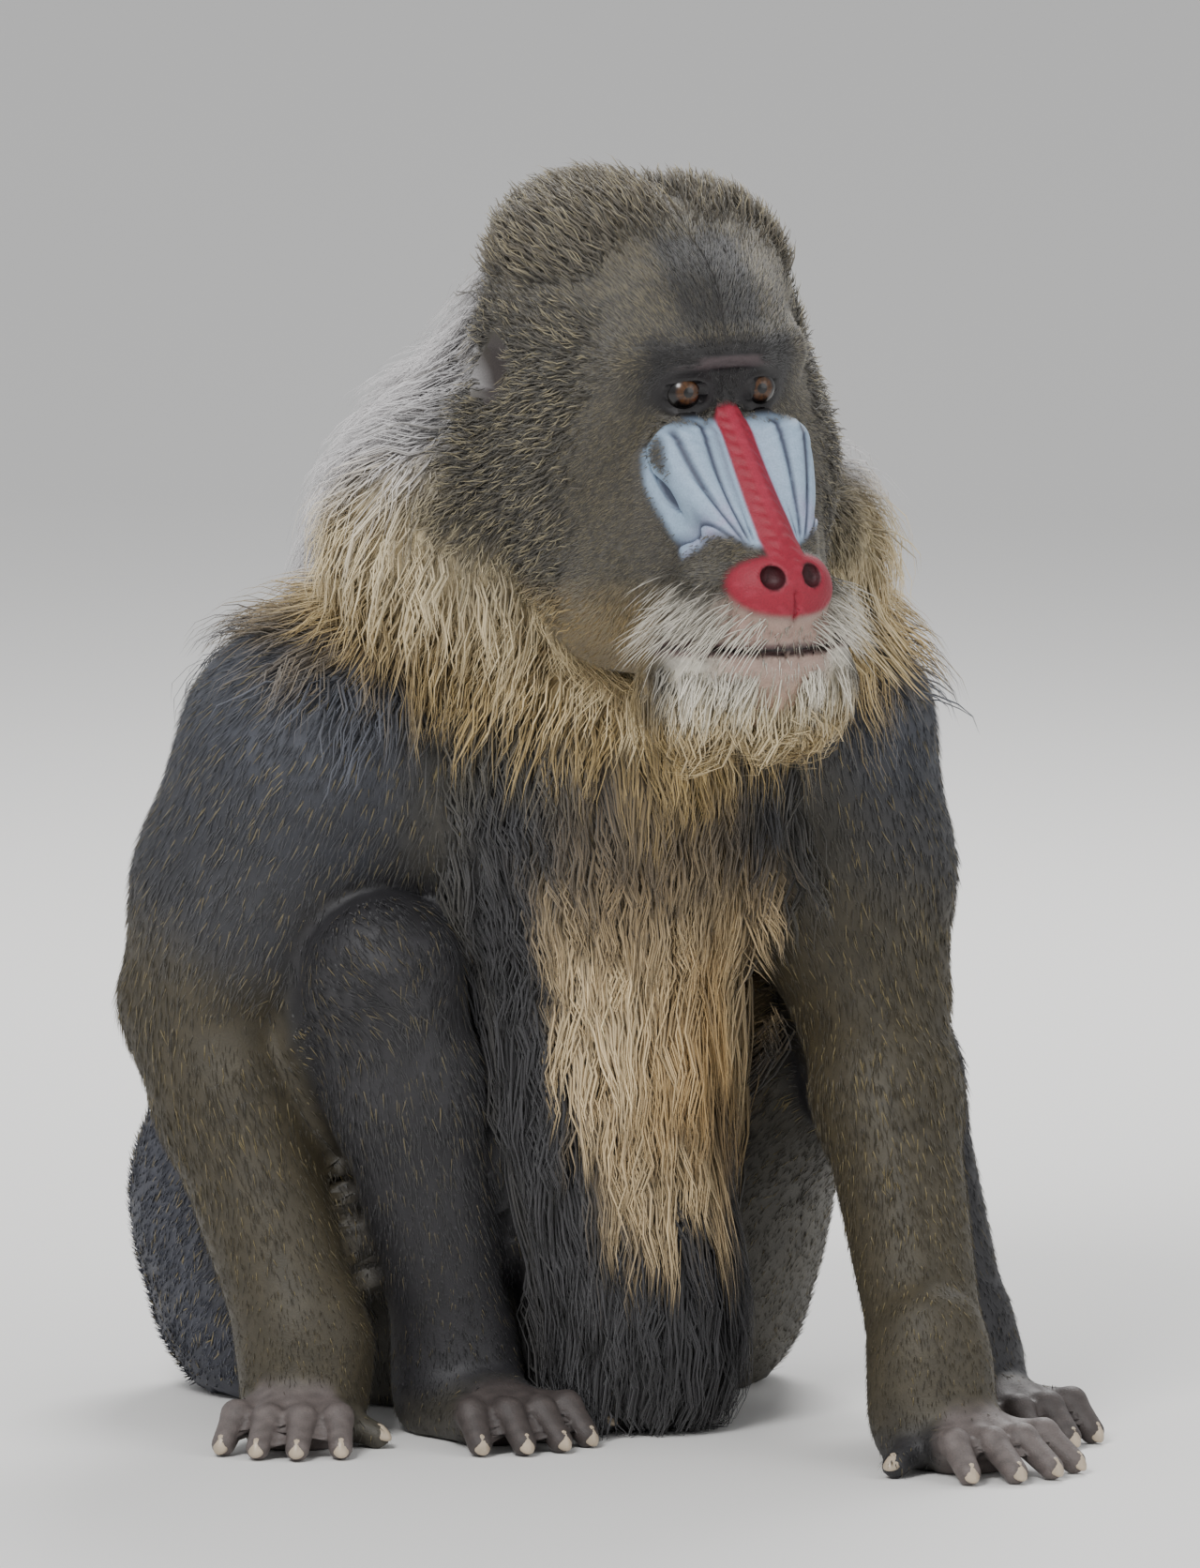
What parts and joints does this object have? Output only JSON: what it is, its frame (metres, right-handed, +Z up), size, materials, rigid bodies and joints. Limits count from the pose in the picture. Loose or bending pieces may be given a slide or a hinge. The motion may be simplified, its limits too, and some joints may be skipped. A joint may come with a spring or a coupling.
{
  "type": "mandrill",
  "caption": "Adult male mandrill sitting with knees up and both hands on the ground, head turned, as a still life-size model.",
  "frame": {"origin": "middle of the footprint's box, on the floor that the animal sits on", "axes": "+Z up; the animal faces -Y, its body and head turned about 25 degrees towards +X"},
  "size_m": [0.5962, 0.5478, 0.7744],
  "materials": {
    "face_and_head": "dense grizzled hair, with bare red and blue skin on the muzzle",
    "muzzle_red": "bare red skin, softly glossy",
    "muzzle_blue": "bare pale blue ridged skin, softly glossy",
    "beard": "white to yellowish beard hair",
    "mane": "silver-white to golden long hair",
    "chest_coat": "grey to orange-brown hair",
    "belly_coat": "long golden-cream locks over dark grey hair",
    "arm_coat": "grizzled olive-grey short hair",
    "dark_coat": "dark blue-grey short hair",
    "hand_skin": "bare wrinkled grey-pink skin",
    "nail": "pale smooth nail",
    "bare_skin": "bare pinkish-grey skin",
    "eye": "wet amber-brown eye with a dark pupil"
  },
  "bodies": {
    "root": {"head": "face_and_head", "jaw": "beard", "neck": "mane", "chest": "chest_coat", "belly": "belly_coat", "pelvis": "dark_coat", "tail": "dark_coat", "eye_right": "eye", "eye_left": "eye", "ear_right": "bare_skin", "ear_left": "bare_skin", "upper_arm_right": "arm_coat", "upper_arm_left": "arm_coat", "forearm_right": "arm_coat", "forearm_left": "arm_coat", "hand_right": "hand_skin", "hand_left": "hand_skin", "thigh_right": "dark_coat", "thigh_left": "dark_coat", "shin_right": "dark_coat", "shin_left": "dark_coat", "foot_right": "hand_skin", "foot_left": "hand_skin"}
  },
  "joints": []
}
